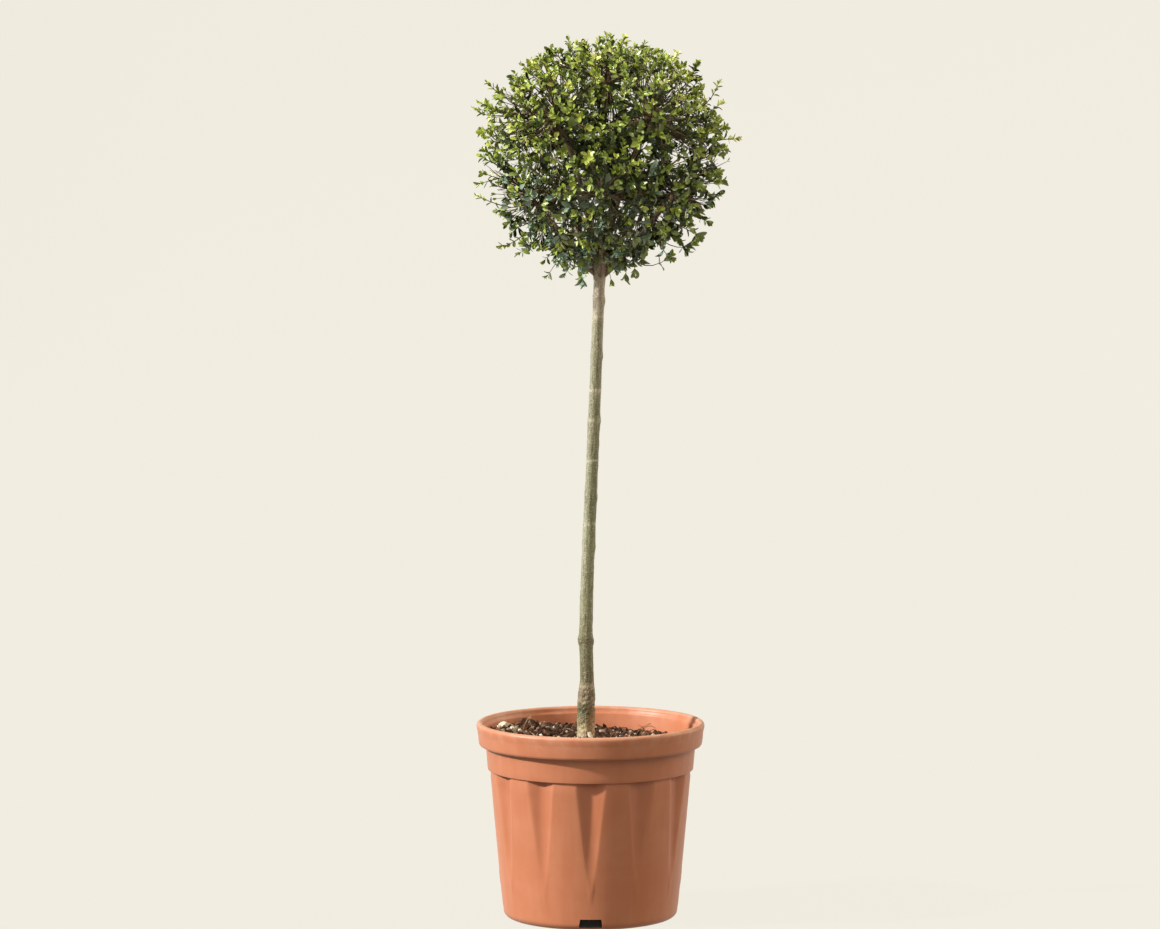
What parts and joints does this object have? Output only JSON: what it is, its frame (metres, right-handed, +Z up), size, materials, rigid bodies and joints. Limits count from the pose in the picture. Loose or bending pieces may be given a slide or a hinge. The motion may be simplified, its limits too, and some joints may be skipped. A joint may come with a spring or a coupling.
{
  "type": "standard lollipop topiary",
  "caption": "Standard topiary: a clipped ball of small green leaves on a bare, slightly leaning stem, growing from compost in a fluted terracotta-coloured plastic pot.",
  "frame": {"origin": "centre of the pot's flat underside, on the surface that the pot stands on", "axes": "+Z up along the pot axis, -Y to the front that the picture shows, +X to the right of that view; the stem leans to +X"},
  "size_m": [0.3542, 0.3299, 1.1674],
  "materials": {
    "pot_plastic": "satin moulded plastic",
    "compost": "moist bark compost, matte",
    "bark": "grey-olive bark, matte",
    "leaves": "satin leaves"
  },
  "bodies": {
    "root": {"pot": "pot_plastic", "soil": "compost", "trunk": "bark", "bough_top": "bark", "bough_upper_1": "bark", "bough_upper_2": "bark", "bough_upper_3": "bark", "bough_upper_4": "bark", "bough_lower_1": "bark", "bough_lower_2": "bark", "bough_lower_3": "bark", "bough_lower_4": "bark", "bough_lower_5": "bark", "foliage_top": "leaves", "foliage_upper_1": "leaves", "foliage_upper_2": "leaves", "foliage_upper_3": "leaves", "foliage_upper_4": "leaves", "foliage_lower_1": "leaves", "foliage_lower_2": "leaves", "foliage_lower_3": "leaves", "foliage_lower_4": "leaves", "foliage_lower_5": "leaves"}
  },
  "joints": []
}
